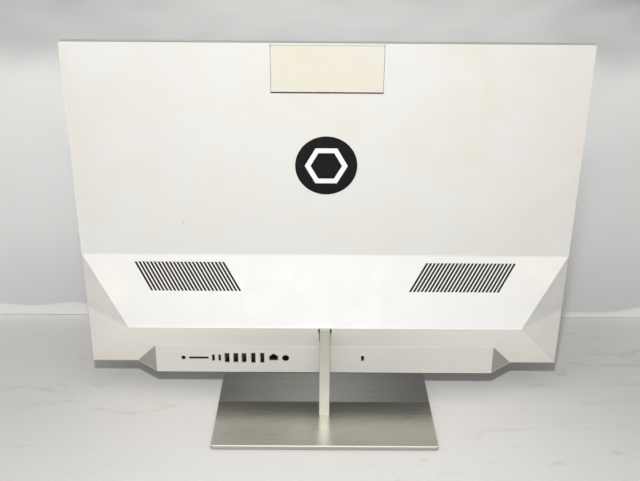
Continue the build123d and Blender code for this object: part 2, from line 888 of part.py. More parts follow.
with BuildPart() as camera_lenses:
    for x, radius in ((-20, 2.1), (0, 2.9), (20, 2.1)):
        through((x, (camera_front + 0.5 - 2.2) / 2, lens_height), radius, 2.0)

with BuildPart() as camera_board:
    block((-46, 46), (-2.15, -1.45), (lens_height - 9, lens_height + 9))

with BuildPart() as camera_back_plate:
    block((-camera_half, camera_half), (-1.2, 0), (camera_bottom, camera_plate_top))
    fillet(camera_back_plate.edges().filter_by(Axis.Y), 0.8)

with BuildPart() as camera_cap:
    block((-camera_half, camera_half), (camera_front, 0), (camera_plate_top + groove, panel_height))
    block((-housing_half, housing_half), (camera_front, -1.2), (camera_plate_top, camera_plate_top + groove))

with BuildPart() as webcam_guides:
    for side in (-1, 1):
        inner = camera_half + camera_gap + 0.1
        spot = sorted((side * inner, side * (inner + 4)))
        block(spot, (chassis_back, -cover_wall), (338, panel_height - frame_rim - 0.3))

with BuildPart() as webcam_latch:
    block((-12, 12), (chassis_back, -cover_wall), (356, camera_bottom - 2.0))
    block((-3, 3), (chassis_back + 0.5, -cover_wall - 0.4), (camera_bottom - 2.0, camera_bottom + 0.2))

for piece, name in (
    (camera_housing, "camera_housing"),
    (camera_window, "camera_window"),
    (camera_lenses, "camera_lenses"),
    (camera_board, "camera_board"),
    (camera_back_plate, "camera_back_plate"),
    (camera_cap, "camera_cap"),
    (webcam_guides, "webcam_guides"),
    (webcam_latch, "webcam_latch"),
):
    write_piece(piece, name, in_display)
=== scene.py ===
import json
import math

import bmesh
import bpy
from mathutils import Matrix, Vector


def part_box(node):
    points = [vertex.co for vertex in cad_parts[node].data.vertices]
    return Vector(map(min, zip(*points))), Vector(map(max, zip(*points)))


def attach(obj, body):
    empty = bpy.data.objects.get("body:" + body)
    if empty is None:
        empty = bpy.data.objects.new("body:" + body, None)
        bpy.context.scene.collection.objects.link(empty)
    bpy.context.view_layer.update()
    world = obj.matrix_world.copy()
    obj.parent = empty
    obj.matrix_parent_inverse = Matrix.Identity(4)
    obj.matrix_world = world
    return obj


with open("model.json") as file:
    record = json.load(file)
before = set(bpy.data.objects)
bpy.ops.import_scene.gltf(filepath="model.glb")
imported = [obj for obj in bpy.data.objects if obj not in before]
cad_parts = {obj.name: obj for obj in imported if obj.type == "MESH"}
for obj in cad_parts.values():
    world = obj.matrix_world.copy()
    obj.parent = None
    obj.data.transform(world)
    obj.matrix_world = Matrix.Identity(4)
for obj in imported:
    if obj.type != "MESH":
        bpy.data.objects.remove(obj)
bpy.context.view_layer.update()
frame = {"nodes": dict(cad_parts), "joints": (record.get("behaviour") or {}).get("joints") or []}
MM = 0.001

# ---------------------------------------------------------------------------------------------------
# Camera. It looks at the back of the computer from a little above, as a seller would stand to show
# the sockets. A colour view without a film curve keeps the whites as plain as the plastic is.
# ---------------------------------------------------------------------------------------------------
camera_place = Vector((10.8, 1102.0, 650.2)) * MM
camera_pitch = math.radians(20.58)
camera_yaw = math.radians(-0.20)
camera_roll = math.radians(-0.43)
camera_lens = 54.64

forward = Vector(
    (
        math.sin(camera_yaw) * math.cos(camera_pitch),
        -math.cos(camera_yaw) * math.cos(camera_pitch),
        -math.sin(camera_pitch),
    )
)
level_right = forward.cross(Vector((0, 0, 1))).normalized()
level_down = forward.cross(level_right)
right = level_right * math.cos(camera_roll) + level_down * math.sin(camera_roll)
up = level_right * math.sin(camera_roll) - level_down * math.cos(camera_roll)

camera = bpy.data.objects.new("camera", bpy.data.cameras.new("camera"))
bpy.context.collection.objects.link(camera)
camera.matrix_world = Matrix(
    (
        (right.x, up.x, -forward.x, camera_place.x),
        (right.y, up.y, -forward.y, camera_place.y),
        (right.z, up.z, -forward.z, camera_place.z),
        (0, 0, 0, 1),
    )
)
camera.data.lens = camera_lens
camera.data.sensor_width = 36
bpy.context.scene.camera = camera
bpy.context.scene.view_settings.view_transform = "Standard"


# ---------------------------------------------------------------------------------------------------
# Studio floor: matt white paper, lightly scuffed, in front of and under the computer, and a creased
# white sheet laid behind it, low enough to leave every side open to view. They are the first things
# with a finish, so the small tools for writing finishes as sums stand here.
# ---------------------------------------------------------------------------------------------------
class Wire:
    """One output of a finish's nodes. Numbers can be added, multiplied and compared as in a sum."""

    def __init__(self, finish, socket):
        self.finish, self.socket = finish, socket

    def work(self, operation, *numbers):
        return self.finish.node("ShaderNodeMath", {"operation": operation}, dict(enumerate(numbers)))

    def __add__(self, other):
        return self.work("ADD", self, other)

    def __sub__(self, other):
        return self.work("SUBTRACT", self, other)

    def __rsub__(self, other):
        return self.work("SUBTRACT", other, self)

    def __mul__(self, other):
        return self.work("MULTIPLY", self, other)

    def __gt__(self, other):
        return self.work("GREATER_THAN", self, other)

    def __lt__(self, other):
        return self.work("LESS_THAN", self, other)

    def __abs__(self):
        return self.work("ABSOLUTE", self)

    def sine(self):
        return self.work("SINE", self)

    def larger(self, other):
        return self.work("MAXIMUM", self, other)

    __radd__ = __add__
    __rmul__ = __mul__


class Finish:
    """A material built as a principled surface, with one method for every other node."""

    def __init__(self, name, **plain):
        self.material = bpy.data.materials.new(name)
        self.material.use_nodes = True
        self.tree = self.material.node_tree
        self.tree.nodes.clear()
        end = self.tree.nodes.new("ShaderNodeOutputMaterial")
        self.shader = self.tree.nodes.new("ShaderNodeBsdfPrincipled")
        self.tree.links.new(self.shader.outputs[0], end.inputs[0])
        for key, value in plain.items():
            self.set(key.replace("_", " ").title().replace("Ior", "IOR"), value)

    def plug(self, target, value):
        """Link a wire to a socket, or write a number or a colour on it."""
        if isinstance(value, Wire):
            self.tree.links.new(value.socket, target)
        elif hasattr(value, "__len__") and len(value) == 3 and target.type == "RGBA":
            target.default_value = (*value, 1)
        else:
            target.default_value = value

    def set(self, name, value):
        """Give one socket of the surface a number, a colour or a wire."""
        self.plug(self.shader.inputs[name], value)

    def node(self, kind, settings, inputs, output=0):
        """Add a node: its kind, its settings, what its sockets get, and which output to hand back."""
        made = self.tree.nodes.new(kind)
        for key, value in settings.items():
            setattr(made, key, value)
        for key, value in inputs.items():
            self.plug(made.inputs[key], value)
        return Wire(self, made.outputs[output])

    def place(self):
        """Where a point is on the piece, in metres, before any joint moves it."""
        return self.node("ShaderNodeTexCoord", {}, {}, "Object")

    def parts(self, wire):
        """The three numbers of a place or a direction."""
        split = self.node("ShaderNodeSeparateXYZ", {}, {0: wire})
        return [Wire(self, split.socket.node.outputs[i]) for i in range(3)]

    def stretch(self, scale):
        """The place scaled along each axis, to draw a pattern out."""
        return self.node("ShaderNodeMapping", {}, {"Vector": self.place(), "Scale": scale})

    def noise(self, scale, detail=3.0, rough=0.55, where=None, distortion=0.0):
        """A cloudy pattern; a larger scale makes it finer."""
        inputs = {"Vector": where or self.place(), "Scale": scale, "Detail": detail}
        return self.node("ShaderNodeTexNoise", {}, {**inputs, "Roughness": rough, "Distortion": distortion})

    def between(self, wire, low, high, start=0.0, end=1.0):
        """Map a value from low..high to start..end and keep it there."""
        inputs = {"Value": wire, "From Min": low, "From Max": high, "To Min": start, "To Max": end}
        return self.node("ShaderNodeMapRange", {"clamp": True}, inputs)

    def mix(self, share, first, second):
        """A colour part of the way from the first to the second."""
        inputs = {"Factor": share, 6: first, 7: second}
        return self.node("ShaderNodeMix", {"data_type": "RGBA"}, inputs, 2)

    def bump(self, height, distance, strength=1.0):
        """Roughen the surface by a height that changes over it, up to a distance in metres."""
        inputs = {"Height": height, "Distance": distance, "Strength": strength}
        self.set("Normal", self.node("ShaderNodeBump", {}, inputs))

    def on(self, *nodes):
        """Give the finish to CAD nodes."""
        for name in nodes:
            mesh = frame["nodes"][name].data
            mesh.materials.clear()
            mesh.materials.append(self.material)


def sheet(name, rows, finish):
    """A smooth surface through rows of points."""
    mesh = bpy.data.meshes.new(name)
    width = len(rows[0])
    points = [p for row in rows for p in row]
    faces = [
        (r * width + c, r * width + c + 1, (r + 1) * width + c + 1, (r + 1) * width + c)
        for r in range(len(rows) - 1)
        for c in range(width - 1)
    ]
    mesh.from_pydata(points, [], faces)
    mesh.polygons.foreach_set("use_smooth", [True] * len(mesh.polygons))
    piece = bpy.data.objects.new(name, mesh)
    bpy.context.collection.objects.link(piece)
    mesh.materials.append(finish.material)
    return piece


paper = Finish("studio_paper", roughness=0.55)
blank = paper.mix(paper.noise(3.5, 4.0), (0.85, 0.835, 0.80), (0.92, 0.905, 0.87))
scuffed = paper.between(paper.noise(7.0, 9.0, 0.72, paper.stretch((1.0, 2.6, 1.0)), 1.5), 0.57, 0.66)
paper.set("Base Color", paper.mix(scuffed * 0.35, blank, (0.60, 0.565, 0.52)))
paper.bump(paper.noise(9.0, 4.0), 0.004, 0.2)
cloth = Finish("studio_cloth", roughness=0.9)
cloth.set("Base Color", cloth.mix(cloth.noise(2.0), (0.83, 0.835, 0.805), (0.89, 0.895, 0.865)))

paper_edge, stage_reach = -0.315, 7.0
floor_rows = [[(x, y, 0.0) for x in (-stage_reach, stage_reach)] for y in (paper_edge, stage_reach)]
floor = sheet("studio_floor", floor_rows, paper)

sheet_columns, sheet_levels = 280, 90
sheet_turn = 1.1
fan_point, sheet_gap = 1.10, 0.02
sheet_growth, growth_power = 3.6, 1.6
sheet_start = fan_point - paper_edge - sheet_gap
hem_depth, hem_level = 0.004, 0.0005


def crease_height_at(turn, reach):
    """How far the sheet stands up; its creases fan out from where it was pulled back over the table."""
    broad = math.sin(26.0 * turn + 1.3 * math.sin(7.0 * turn + 0.6 * reach))
    fine = math.sin(71.0 * turn + 2.0 * math.sin(3.0 * reach + 9.0 * turn))
    return (0.0070 + 0.0045 * broad + 0.0018 * fine) * reach


sheet_rows = []
for level in range(sheet_levels + 1):
    reach = sheet_start * (1 + sheet_growth * (level / sheet_levels) ** growth_power)
    turns = [sheet_turn * (2 * column / sheet_columns - 1) for column in range(sheet_columns, -1, -1)]
    sheet_rows.append([(reach * math.tan(t), fan_point - reach, crease_height_at(t, reach)) for t in turns])
turned_down = [(x, y + hem_depth, hem_level) for x, y, z in sheet_rows[0]]
sheet_rows.insert(0, turned_down)
backdrop = sheet("studio_sheet", sheet_rows, cloth)

# ---------------------------------------------------------------------------------------------------
# Lights: a small bare flash just above the camera throws the crisp shadows. Soft boxes overhead, behind
# the camera and to one side fill them a little, and a lamp turned down on the table in front sends light
# up to the faces that lean forward. Three more lamps, turned down behind, light the laid sheet.
# ---------------------------------------------------------------------------------------------------
room = bpy.data.worlds.new("room")
room.use_nodes = True
room.node_tree.nodes["Background"].inputs["Color"].default_value = (0.97, 0.98, 1.0, 1)
room.node_tree.nodes["Background"].inputs["Strength"].default_value = 0.12
bpy.context.scene.world = room


def soft_box(name, place, aim, width, height, power):
    """A flat lamp at a place, turned to face a point."""
    lamp = bpy.data.lights.new(name, "AREA")
    lamp.shape = "RECTANGLE"
    lamp.size, lamp.size_y, lamp.energy = width, height, power
    holder = bpy.data.objects.new(name, lamp)
    bpy.context.collection.objects.link(holder)
    holder.location = place
    holder.rotation_mode = "QUATERNION"
    holder.rotation_quaternion = (Vector(aim) - Vector(place)).to_track_quat("-Z", "Y")


soft_box("flash", (0.03, 1.10, 0.90), (0, 0, 0.25), 0.06, 0.04, 10.7)
soft_box("overhead_box", (0.0, 1.20, 2.20), (0, 0, 0.10), 2.40, 1.60, 12.0)
soft_box("front_box", (0.0, 2.20, 0.70), (0, 0, 0.20), 2.40, 1.20, 2.5)
soft_box("side_box", (1.60, 1.20, 1.00), (0, 0, 0.20), 1.20, 1.40, 3.0)


def down_spot(name, place, power, cone, blend=0.8):
    """A lamp turned straight down, with its cone in degrees and the share of it that fades out."""
    lamp = bpy.data.lights.new(name, "SPOT")
    lamp.energy, lamp.spot_size, lamp.spot_blend = power, math.radians(cone), blend
    lamp.shadow_soft_size = 0.1
    holder = bpy.data.objects.new(name, lamp)
    holder.location = place
    bpy.context.collection.objects.link(holder)


down_spot("bounce", (0.1, 0.98, 1.8), 190, 44, blend=1.0)
down_spot("rear_left", (1.05, -1.32, 2.3), 92, 70)
down_spot("rear_right", (-1.05, -1.32, 2.3), 70, 70)
down_spot("far_lamp", (0.0, -3.7, 3.0), 225, 110)

# ---------------------------------------------------------------------------------------------------
# Base plate: one flat plate of aluminium, brushed from side to side, anodised grey and milled along its
# top edge. The milled bevel is painted near white and not metallic, a painted highlight along the edge.
# Dust and finger grease cloud it a little.
# ---------------------------------------------------------------------------------------------------
_, plate_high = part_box("base_plate")
bevel_foot = plate_high.z - 0.9 * MM
bevel_brow = plate_high.z - 0.02 * MM
anodised = Finish("plate_metal")
_, _, plate_level = anodised.parts(anodised.place())
# Painted highlight: the milled bevel gets a near-white, unmetallic colour for the bright line along the
# edge.
milled_highlight = anodised.between(plate_level, bevel_foot - 0.1 * MM, bevel_foot + 0.2 * MM)
milled_highlight = milled_highlight * (plate_level < bevel_brow)
brushed = anodised.noise(1.0, 5.0, 0.7, anodised.stretch((12, 1500, 400)))
dull = anodised.mix(brushed, (0.40, 0.395, 0.355), (0.54, 0.53, 0.485))
cloud = anodised.between(anodised.noise(14.0, 5.0, 0.65), 0.50, 0.72)
dull = anodised.mix(cloud * 0.15, dull, (0.46, 0.435, 0.36))
anodised.set("Base Color", anodised.mix(milled_highlight, dull, (0.90, 0.895, 0.85)))
anodised.set("Metallic", anodised.between(milled_highlight, 0.0, 1.0, 0.95, 0.0))
anodised.set("Roughness", anodised.between(brushed, 0.3, 0.7, 0.25, 0.32) + cloud * 0.03)
anodised.bump(brushed, 0.025 * MM, 0.5)
anodised.on("base_plate")

# ---------------------------------------------------------------------------------------------------
# Base pad and screws: a black rubber sheet glued under the plate, and two countersunk steel screws
# that pull the neck down on it from below.
# ---------------------------------------------------------------------------------------------------
rubber = Finish("pad_rubber", roughness=0.85)
rubber.set("Base Color", rubber.mix(rubber.noise(70.0, 4.0), (0.018, 0.018, 0.018), (0.045, 0.044, 0.042)))
rubber.bump(rubber.noise(1400.0, 3.0), 0.1 * MM, 0.6)
rubber.on("base_pad")

zinc = Finish("zinc_steel", metallic=1.0)
zinc.set("Base Color", zinc.mix(zinc.noise(160.0, 4.0), (0.40, 0.41, 0.42), (0.60, 0.60, 0.58)))
zinc.set("Roughness", zinc.between(zinc.noise(420.0, 3.0), 0.3, 0.7, 0.28, 0.46))
zinc.bump(zinc.noise(900.0, 2.0), 0.02 * MM, 0.4)
zinc.on("base_screws")

# ---------------------------------------------------------------------------------------------------
# Neck: a flat bar of cast aluminium under satin champagne paint. Its rear face is painted darker
# towards the top, as painted shade under the overhang of the cover, and stays light near the foot.
# ---------------------------------------------------------------------------------------------------
neck_low, neck_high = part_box("neck")
champagne = Finish("neck_paint", metallic=0.35)
_, _, neck_level = champagne.parts(champagne.place())
# Painted shade: the paint turns darker towards the top of the neck, under the cover's overhang.
shade_towards_top = champagne.between(neck_level, neck_low.z, neck_high.z)
flake = champagne.noise(2400.0, 2.0, 0.7)
satin = champagne.mix(flake, (0.74, 0.73, 0.65), (0.82, 0.81, 0.725))
champagne.set("Base Color", champagne.mix(shade_towards_top * (1.6 - shade_towards_top * 0.6), satin, (0.41, 0.40, 0.35)))
champagne.set("Roughness", champagne.between(champagne.noise(45.0, 3.0), 0.3, 0.7, 0.36, 0.48))
champagne.bump(flake, 0.02 * MM, 0.4)
champagne.on("neck")

# ---------------------------------------------------------------------------------------------------
# Tilt hinge: a ground steel shaft gripped by two friction barrels, which a folded steel bracket ties
# to the pressed chassis plate with zinc-plated screws. Grease has darkened the barrels.
# ---------------------------------------------------------------------------------------------------
ground = Finish("ground_steel", metallic=1.0)
turned = ground.noise(1.0, 3.0, 0.6, ground.stretch((2400, 60, 60)))
ground.set("Base Color", ground.mix(turned, (0.50, 0.50, 0.50), (0.68, 0.68, 0.67)))
ground.set("Roughness", ground.between(turned, 0.3, 0.7, 0.16, 0.30))
ground.bump(turned, 0.02 * MM, 0.5)
ground.on("hinge_shaft")

greased = Finish("greased_steel", metallic=0.9)
greased.set("Base Color", greased.mix(greased.noise(130.0, 4.0), (0.10, 0.09, 0.08), (0.26, 0.25, 0.23)))
greased.set("Roughness", greased.between(greased.noise(60.0), 0.3, 0.7, 0.22, 0.5))
greased.bump(greased.noise(500.0), 0.05 * MM, 0.3)
greased.on("friction_barrels")

pressed = Finish("pressed_steel", metallic=1.0)
rolled = pressed.noise(1.0, 4.0, 0.6, pressed.stretch((30, 30, 900)))
pressed.set("Base Color", pressed.mix(rolled, (0.20, 0.20, 0.20), (0.30, 0.30, 0.29)))
pressed.set("Roughness", pressed.between(rolled, 0.3, 0.7, 0.38, 0.55))
pressed.bump(rolled, 0.02 * MM, 0.5)
pressed.on("hinge_bracket", "chassis_plate")
zinc.on("shaft_nuts", "bracket_screws")

# ---------------------------------------------------------------------------------------------------
# Rear cover: one large white moulding with a fine satin grain. Its plastic has yellowed in blotches
# towards the top and blushed pink towards the sides, where it was handled, and it has one dark speck.
# The raised bulge is painted a lighter white than the flat back, as painted light on its faces that
# lean down and sideways, and its face above the ridge is painted darker, as painted shade against the
# light that falls on it from above.
# ---------------------------------------------------------------------------------------------------
slide = next(j for j in frame["joints"] if j["name"] == "webcam_slide")
display_up = Vector(slide["axis"])
display_out = Vector((0, display_up.z, -display_up.y))
edge = Vector((0, -52.4, 45.0)) * MM


def in_display(x, y, z):
    """A point given in the display's own frame, in millimetres."""
    return edge + Vector((x * MM, 0, 0)) + display_out * y * MM + display_up * z * MM


def display_parts(finish):
    """Across, out through the back, and up the screen: a point in the display's frame, in millimetres."""
    across, depth, level = finish.parts(finish.place())
    depth, level = depth - edge.y, level - edge.z
    out = depth * (display_out.y / MM) + level * (display_out.z / MM)
    return across * (1 / MM), out, depth * (display_up.y / MM) + level * (display_up.z / MM)


white = Finish("cover_plastic", specular_ior_level=0.4)
cover_across, cover_out, cover_up = display_parts(white)
# Painted light: the bulge's faces, which lean down and sideways from the lamps, get a lighter white than
# the flat back.
painted_lift_on_bulge = white.between(cover_out, 0.0, 1.5)
blotch = white.noise(9.0, 5.0, 0.6, distortion=0.8)
aged = white.between(blotch, 0.50, 0.70) * white.between(cover_up, 150.0, 330.0, 0.35, 1.0)
towards_sides = white.between(abs(cover_across), 120.0, 290.0)
blush = white.between(white.noise(6.5, 4.0, 0.55), 0.42, 0.62) * towards_sides
tint = white.mix(aged * 0.55, (0.695, 0.692, 0.665), (0.690, 0.630, 0.515))
tint = white.mix(blush * 0.50, tint, (0.680, 0.615, 0.560))
ridge_low, ridge_high = 80.0, 86.0
# Painted shade and light: the face above the ridge, which faces up into the light, is darker than the lower
# face below it.
painted_dim_above_ridge = white.between(cover_up, ridge_low, ridge_high)
painted_tone_and_stains = white.mix(painted_dim_above_ridge, (0.950, 0.925, 0.875), (0.765, 0.762, 0.742))
# Real stains from handling are mixed into the painted tones near the cover's sides.
by_the_edge = white.between(abs(cover_across), 170.0, 270.0)
handled = white.between(white.noise(11.0, 4.0, 0.6), 0.38, 0.62) * by_the_edge
painted_tone_and_stains = white.mix(handled * 0.6, painted_tone_and_stains, (0.935, 0.860, 0.785))
tint = white.mix(painted_lift_on_bulge * 0.85, tint, painted_tone_and_stains)
speck_across, speck_up, speck_reach = 176.5, 203.0, 0.8
speck = (abs(cover_across - speck_across) < speck_reach) * (abs(cover_up - speck_up) < speck_reach)
tint = white.mix(speck * 0.7, tint, (0.30, 0.26, 0.20))
white.set("Base Color", tint)
white.set("Roughness", white.between(white.noise(40.0, 3.0), 0.3, 0.7, 0.40, 0.52))
white.bump(white.noise(2600.0, 2.0, 0.6), 0.03 * MM, 0.5)
white.on("rear_cover")

# ---------------------------------------------------------------------------------------------------
# Chin: a separate moulding sprayed silver, with a fine metal flake. It screws up against the cover's
# lower face. Thin painted highlights run along its top and bottom edges, and its two ends are painted
# darker as painted shade.
# ---------------------------------------------------------------------------------------------------
silver = Finish("silver_paint", metallic=0.5)
metal_flake = silver.noise(3000.0, 2.0, 0.7)
sprayed = silver.mix(metal_flake, (0.70, 0.69, 0.645), (0.80, 0.79, 0.74))
sprayed = silver.mix(silver.noise(18.0, 3.0) * 0.3, sprayed, (0.70, 0.69, 0.645))
chin_low, chin_high, chin_half = 0.9, 39.2, 217.9
edge_fade, end_fade = 0.5, 1.3
chin_across, _, chin_up = display_parts(silver)
# Painted highlights: thin near-white lines along the chin's top and bottom edges.
lower_edge_highlight = silver.between(chin_up, chin_low, chin_low - edge_fade)
edges = lower_edge_highlight.larger(silver.between(chin_up, chin_high, chin_high + edge_fade))
# Painted shade: the chin's two ends are darker.
shaded_ends = silver.between(abs(chin_across), chin_half + 0.3, chin_half + end_fade)
sprayed = silver.mix(shaded_ends, sprayed, (0.44, 0.435, 0.40))
silver.set("Base Color", silver.mix(edges, sprayed, (0.93, 0.92, 0.88)))
silver.set("Roughness", silver.between(silver.noise(50.0, 3.0), 0.3, 0.7, 0.52, 0.60))
silver.bump(metal_flake, 0.02 * MM, 0.4)
silver.on("io_cover")

# ---------------------------------------------------------------------------------------------------
# Sockets: folded nickel shells, and black mouldings for the audio jack, the card slot and the power
# inlet, all standing on the main board. Inside their lips the shells are painted near black, as painted
# shade for their deep mouths.
# ---------------------------------------------------------------------------------------------------
mouth, lip_depth = 25.0, 0.9
nickel = Finish("nickel_shell", metallic=0.8, roughness=0.35)
_, nickel_out, _ = display_parts(nickel)
# Painted shade: inside the lip the shells are near black, for the shade in the deep mouths.
lip = nickel.between(nickel_out, mouth - lip_depth, mouth - 0.1)
nickel.set("Base Color", nickel.mix(lip, (0.006, 0.006, 0.006), (0.30, 0.30, 0.27)))
nickel.bump(nickel.noise(1200.0), 0.01 * MM, 0.5)
nickel.on("usb_c_ports", "usb_a_ports", "hdmi_ports", "lan_port")

jet = Finish("black_moulding", roughness=0.42, specular_ior_level=0.3)
jet.set("Base Color", jet.mix(jet.noise(240.0, 3.0), (0.005, 0.005, 0.005), (0.013, 0.013, 0.012)))
jet.bump(jet.noise(1800.0, 2.0), 0.03 * MM, 0.5)
jet.on("audio_jack", "dc_inlet", "card_reader")

# ---------------------------------------------------------------------------------------------------
# Socket contacts: stamped strips plated with gold, four in each of the three tall ports and eight in
# the network port, pressed into the black insides of their sockets.
# ---------------------------------------------------------------------------------------------------
gold = Finish("gold_contacts", metallic=1.0, roughness=0.25)
gold.set("Base Color", gold.mix(gold.noise(900.0), (0.80, 0.56, 0.24), (0.95, 0.72, 0.36)))
broken_edge = 0.08


def add_to_display(name, shape, finish):
    """Turn a finished shape into a piece that rides on the display."""
    bmesh.ops.recalc_face_normals(shape, faces=shape.faces[:])
    mesh = bpy.data.meshes.new(name)
    shape.to_mesh(mesh)
    shape.free()
    mesh.materials.append(finish.material)
    piece = bpy.data.objects.new(name, mesh)
    bpy.context.collection.objects.link(piece)
    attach(piece, "display")


def add_strips(name, boxes):
    """One piece of gold strips: boxes in the display's frame, each with its edges broken."""
    shape = bmesh.new()
    for x, y, z in boxes:
        corners = [shape.verts.new(in_display(a, b, c)) for a in x for b in y for c in z]
        for face in ((0, 1, 3, 2), (4, 6, 7, 5), (0, 4, 5, 1), (2, 3, 7, 6), (0, 2, 6, 4), (1, 5, 7, 3)):
            shape.faces.new([corners[i] for i in face])
    all_edges = shape.edges[:]
    bmesh.ops.bevel(shape, geom=all_edges, offset=broken_edge * MM, segments=2, affect="EDGES", profile=0.5)
    add_to_display(name, shape, gold)


tall_ports, tall_level = (126.3, 115.0, 104.3), 21.3
tall_depths = (mouth - 9.5, mouth - 3.0)
tall_contacts = [
    ((port + 0.2, port + 0.45), tall_depths, (tall_level + step - 0.5, tall_level + step + 0.5))
    for port in tall_ports
    for step in (-3.5, -1.0, 1.0, 3.5)
]
add_strips("socket_contacts", tall_contacts)

network_port, pin_count, pin_pitch, pin_half = 65.9, 8, 1.02, 0.2
pin_depths, pin_levels = (mouth - 11.0, mouth - 4.0), (17.9, 18.3)
pins = [network_port + pin_pitch * (i - (pin_count - 1) / 2) for i in range(pin_count)]
add_strips("network_pins", [((pin - pin_half, pin + pin_half), pin_depths, pin_levels) for pin in pins])

# ---------------------------------------------------------------------------------------------------
# Security slot and buttons: a black plate stands behind the lock slot in the chin, and two moulded keys
# move in a bezel that is let into the chin's underside.
# ---------------------------------------------------------------------------------------------------
jet.on("lock_plate", "button_bezel", "power_button", "input_button")

# ---------------------------------------------------------------------------------------------------
# Shade sheets: two thin stiff panels of black felt, one on each side, set behind the cooling slots as
# a painted shade, so that the slots look dark inside and hide the inside from view.
# ---------------------------------------------------------------------------------------------------
crease, ridge = Vector((0, 0.0, 159.3)), Vector((0, 53.3, 83.1))
down_face = (ridge - crease).normalized()
off_face = Vector((0, -down_face.z, down_face.y))
felt_depths = (2.75, 3.25)
felt_top, felt_bottom = 6.0, 51.0
felt_inner, felt_outer = 103.0, 242.0
felt_rows, felt_columns = 24, 72
ripple_height, ripple_turn = 0.10, 0.31
# Painted shade: the black felt sheets stand in for the shade inside the cooling slots.
felt = Finish("shade_felt", roughness=0.95)
felt.set("Base Color", felt.mix(felt.noise(1800.0, 4.0, 0.7), (0.006, 0.005, 0.004), (0.030, 0.024, 0.019)))
felt.bump(felt.noise(2600.0, 4.0, 0.7), 0.15 * MM, 0.8)


def felt_point(side, deep, share, column):
    """A point on the felt's front or back: a share of the way down, in one column of the grid."""
    across = felt_inner + (felt_outer - felt_inner) * column / felt_columns
    ripple = ripple_height * math.sin(ripple_turn * across) * math.sin(math.pi * share)
    run = felt_top + (felt_bottom - felt_top) * share
    spot = crease + down_face * run - off_face * (deep + abs(ripple))
    return in_display(side * across, spot.y, spot.z)


for side, name in ((1, "shade_sheet_left"), (-1, "shade_sheet_right")):
    shape = bmesh.new()
    outlines = []
    for deep in felt_depths:
        grid = [
            [shape.verts.new(felt_point(side, deep, row / felt_rows, k)) for k in range(felt_columns + 1)]
            for row in range(felt_rows + 1)
        ]
        for first, second in zip(grid, grid[1:]):
            for k in range(felt_columns):
                shape.faces.new((first[k], first[k + 1], second[k + 1], second[k]))
        outer_side = [line[-1] for line in grid[1:-1]]
        inner_side = [line[0] for line in grid[-2:0:-1]]
        outlines.append(grid[0] + outer_side + grid[-1][::-1] + inner_side)
    front, back = outlines
    for k in range(len(front)):
        shape.faces.new((front[k - 1], front[k], back[k], back[k - 1]))
    add_to_display(name, shape, felt)

# ---------------------------------------------------------------------------------------------------
# Badge: a polished black disc set into the cover, with a plain hexagon line inlaid in pale metal. The
# inlay stands a tenth of a millimetre proud of the disc, with its edges rounded.
# ---------------------------------------------------------------------------------------------------
badge_level, badge_face = 279.2, 0.3
gloss = Finish("badge_black", roughness=0.12, specular_ior_level=0.05)
gloss.set("Base Color", gloss.mix(gloss.noise(90.0), (0.006, 0.006, 0.007), (0.011, 0.011, 0.012)))
gloss.on("badge")

pale = Finish("inlay_pale", metallic=0.25)
pale.set("Base Color", pale.mix(pale.noise(800.0), (0.72, 0.72, 0.70), (0.80, 0.80, 0.78)))
pale.set("Roughness", pale.between(pale.noise(120.0), 0.3, 0.7, 0.28, 0.38))
inlay_outer, inlay_inner, inlay_sides = 26.0, 19.0, 6
inlay_top, inlay_sunk, inlay_round, inlay_drop = badge_face + 0.12, badge_face - 0.05, 0.1, 0.03
inlay_outline = (
    (inlay_outer, inlay_sunk),
    (inlay_outer, inlay_top - inlay_drop),
    (inlay_outer - inlay_round, inlay_top),
    (inlay_inner + inlay_round, inlay_top),
    (inlay_inner, inlay_top - inlay_drop),
    (inlay_inner, inlay_sunk),
)
inlay = bmesh.new()
rings = []
for radius, height in inlay_outline:
    turns = [math.radians(360 / inlay_sides * corner) for corner in range(inlay_sides)]
    spots = [in_display(radius * math.cos(t), height, badge_level + radius * math.sin(t)) for t in turns]
    rings.append([inlay.verts.new(spot) for spot in spots])
for first, second in zip(rings, rings[1:] + rings[:1]):
    for k in range(inlay_sides):
        inlay.faces.new((first[k - 1], first[k], second[k], second[k - 1]))
add_to_display("badge_inlay", inlay, pale)

# ---------------------------------------------------------------------------------------------------
# Webcam: a thin black housing that slides up out of the top edge between two steel guides. Its cream
# back plate has yellowed more than the cover and the cap round it, and its front has a dark window.
# ---------------------------------------------------------------------------------------------------
cream = Finish("cap_plastic", specular_ior_level=0.4)
patch = cream.between(cream.noise(16.0, 4.0, 0.6), 0.35, 0.7)
cream.set("Base Color", cream.mix(patch, (0.68, 0.645, 0.54), (0.69, 0.665, 0.60)))
cream.set("Roughness", cream.between(cream.noise(60.0, 3.0), 0.3, 0.7, 0.40, 0.52))
cream.bump(cream.noise(2600.0, 2.0, 0.6), 0.03 * MM, 0.5)
cream.on("camera_back_plate")
white.on("camera_cap")
jet.on("camera_housing", "webcam_latch")
pressed.on("webcam_guides")

smoked = Finish("smoked_window", roughness=0.06, coat_weight=1.0, coat_roughness=0.03)
smoked.set("Base Color", smoked.mix(smoked.noise(60.0), (0.004, 0.004, 0.005), (0.007, 0.007, 0.009)))
smoked.on("camera_window")

coated = Finish("coated_lens", roughness=0.04, coat_weight=1.0, coat_roughness=0.02)
coated.set("Base Color", coated.mix(coated.noise(1500.0), (0.010, 0.006, 0.030), (0.004, 0.012, 0.022)))
coated.on("camera_lenses")

